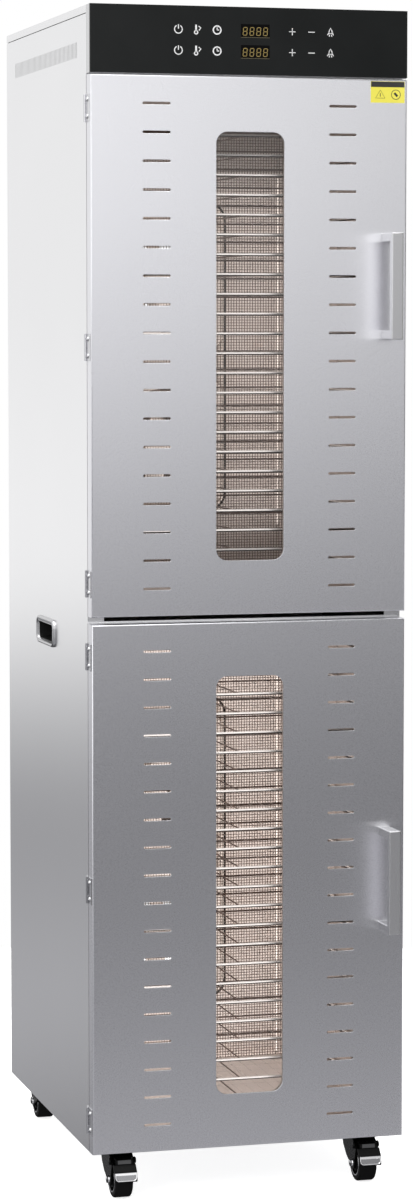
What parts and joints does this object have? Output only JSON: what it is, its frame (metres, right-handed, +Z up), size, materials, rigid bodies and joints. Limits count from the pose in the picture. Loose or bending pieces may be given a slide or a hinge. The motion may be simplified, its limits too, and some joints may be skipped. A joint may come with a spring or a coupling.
{
  "type": "food dehydrator",
  "caption": "Tall cabinet food dehydrator on swivel casters: an upper and a lower drying chamber with windowed doors, wire trays, rear fans and a black control head.",
  "frame": {"origin": "on the floor, under the centre of the bounding box", "axes": "+Z up, -Y towards the front with the doors and controls, +X to the right seen from the front"},
  "size_m": [0.438, 0.577, 1.572],
  "materials": {
    "outer_steel": "satin brushed",
    "door_steel": "satin brushed",
    "chamber_steel": "smooth",
    "tray_wire": "bright wire",
    "screen_wire": "matt",
    "heater_tube": "oxidised",
    "fan_frame_metal": "cast",
    "fan_black": "matt",
    "probe_steel": "satin",
    "control_glass_black": "gloss",
    "display_amber": "gloss",
    "board_green": "matt",
    "handle_steel": "satin",
    "grip_trim": "polished",
    "bright_steel": "bright",
    "hinge_steel": "satin",
    "caster_black": "satin black",
    "wheel_rubber": "matt",
    "magnet_dark": "matt",
    "window_glass": "clear",
    "seal_silicone": "soft",
    "label_yellow": "printed film"
  },
  "bodies": {
    "cabinet": {"left_side_panel": "outer_steel", "right_side_panel": "outer_steel", "top_cover": "outer_steel", "rear_cover": "outer_steel", "base_pan": "outer_steel", "front_frame": "outer_steel", "upper_liner": "chamber_steel", "lower_liner": "chamber_steel", "upper_shelf_racks": "chamber_steel", "lower_shelf_racks": "chamber_steel", "upper_trays": "tray_wire", "lower_trays": "tray_wire", "rear_screens": "screen_wire", "heating_elements": "heater_tube", "fan_shrouds": "fan_black", "fan_frames": "fan_frame_metal", "temperature_probes": "probe_steel", "control_housing": "outer_steel", "control_glass": "control_glass_black", "display_modules": "display_amber", "control_board": "board_green", "power_board": "board_green", "cable_gland": "fan_black", "side_grip_bezels": "grip_trim", "side_grip_cups": "fan_black", "caster_plates": "caster_black", "caster_bolts": "bright_steel", "cabinet_hinge_leaves": "hinge_steel", "hinge_pins": "bright_steel", "cabinet_screws": "bright_steel", "door_magnets": "magnet_dark"},
    "upper_door": {"upper_door_shell": "door_steel", "upper_door_liner": "door_steel", "upper_door_glass": "window_glass", "upper_door_seal": "seal_silicone", "upper_door_handle": "handle_steel", "upper_door_hinge_leaves": "hinge_steel", "upper_door_screws": "bright_steel", "door_label": "label_yellow"},
    "lower_door": {"lower_door_shell": "door_steel", "lower_door_liner": "door_steel", "lower_door_glass": "window_glass", "lower_door_seal": "seal_silicone", "lower_door_handle": "handle_steel", "lower_door_hinge_leaves": "hinge_steel", "lower_door_screws": "bright_steel"},
    "upper_fan_a_rotor": {"upper_fan_a": "fan_black"},
    "upper_fan_b_rotor": {"upper_fan_b": "fan_black"},
    "lower_fan_a_rotor": {"lower_fan_a": "fan_black"},
    "lower_fan_b_rotor": {"lower_fan_b": "fan_black"},
    "caster_fl": {"caster_fork_fl": "caster_black"},
    "wheel_fl": {"caster_wheel_fl": "wheel_rubber"},
    "caster_fr": {"caster_fork_fr": "caster_black"},
    "wheel_fr": {"caster_wheel_fr": "wheel_rubber"},
    "caster_rl": {"caster_fork_rl": "caster_black"},
    "wheel_rl": {"caster_wheel_rl": "wheel_rubber"},
    "caster_rr": {"caster_fork_rr": "caster_black"},
    "wheel_rr": {"caster_wheel_rr": "wheel_rubber"},
    "brake_fl": {"brake_pedal_fl": "caster_black"},
    "brake_fr": {"brake_pedal_fr": "caster_black"}
  },
  "joints": [
    {"name": "upper_door_hinge", "type": "hinge", "parent": "cabinet", "child": "upper_door", "pos_m": [-0.217, -0.2215, 1.1306], "axis": [0, 0, -1], "range_deg": [0, 175]},
    {"name": "lower_door_hinge", "type": "hinge", "parent": "cabinet", "child": "lower_door", "pos_m": [-0.217, -0.2215, 0.4176], "axis": [0, 0, -1], "range_deg": [0, 175]},
    {"name": "upper_fan_a_spin", "type": "hinge", "parent": "cabinet", "child": "upper_fan_a_rotor", "pos_m": [0, 0.2235, 1.216], "axis": [0, 1, 0], "continuous": true},
    {"name": "upper_fan_b_spin", "type": "hinge", "parent": "cabinet", "child": "upper_fan_b_rotor", "pos_m": [0, 0.2235, 0.991], "axis": [0, 1, 0], "continuous": true},
    {"name": "lower_fan_a_spin", "type": "hinge", "parent": "cabinet", "child": "lower_fan_a_rotor", "pos_m": [0, 0.2235, 0.503], "axis": [0, 1, 0], "continuous": true},
    {"name": "lower_fan_b_spin", "type": "hinge", "parent": "cabinet", "child": "lower_fan_b_rotor", "pos_m": [0, 0.2235, 0.278], "axis": [0, 1, 0], "continuous": true},
    {"name": "caster_fl_swivel", "type": "hinge", "parent": "cabinet", "child": "caster_fl", "pos_m": [-0.17, -0.1905, 0.058], "axis": [0, 0, 1], "continuous": true},
    {"name": "wheel_fl_roll", "type": "hinge", "parent": "caster_fl", "child": "wheel_fl", "pos_m": [-0.17, -0.2105, 0.025], "axis": [1, 0, 0], "continuous": true},
    {"name": "caster_fr_swivel", "type": "hinge", "parent": "cabinet", "child": "caster_fr", "pos_m": [0.17, -0.1905, 0.058], "axis": [0, 0, 1], "continuous": true},
    {"name": "wheel_fr_roll", "type": "hinge", "parent": "caster_fr", "child": "wheel_fr", "pos_m": [0.17, -0.2105, 0.025], "axis": [1, 0, 0], "continuous": true},
    {"name": "caster_rl_swivel", "type": "hinge", "parent": "cabinet", "child": "caster_rl", "pos_m": [-0.17, 0.2435, 0.058], "axis": [0, 0, 1], "continuous": true},
    {"name": "wheel_rl_roll", "type": "hinge", "parent": "caster_rl", "child": "wheel_rl", "pos_m": [-0.17, 0.2635, 0.025], "axis": [1, 0, 0], "continuous": true},
    {"name": "caster_rr_swivel", "type": "hinge", "parent": "cabinet", "child": "caster_rr", "pos_m": [0.17, 0.2435, 0.058], "axis": [0, 0, 1], "continuous": true},
    {"name": "wheel_rr_roll", "type": "hinge", "parent": "caster_rr", "child": "wheel_rr", "pos_m": [0.17, 0.2635, 0.025], "axis": [1, 0, 0], "continuous": true},
    {"name": "brake_fl_pedal", "type": "hinge", "parent": "caster_fl", "child": "brake_fl", "pos_m": [-0.17, -0.2205, 0.051], "axis": [1, 0, 0], "range_deg": [0, 10]},
    {"name": "brake_fr_pedal", "type": "hinge", "parent": "caster_fr", "child": "brake_fr", "pos_m": [0.17, -0.2205, 0.051], "axis": [1, 0, 0], "range_deg": [0, 10]}
  ]
}
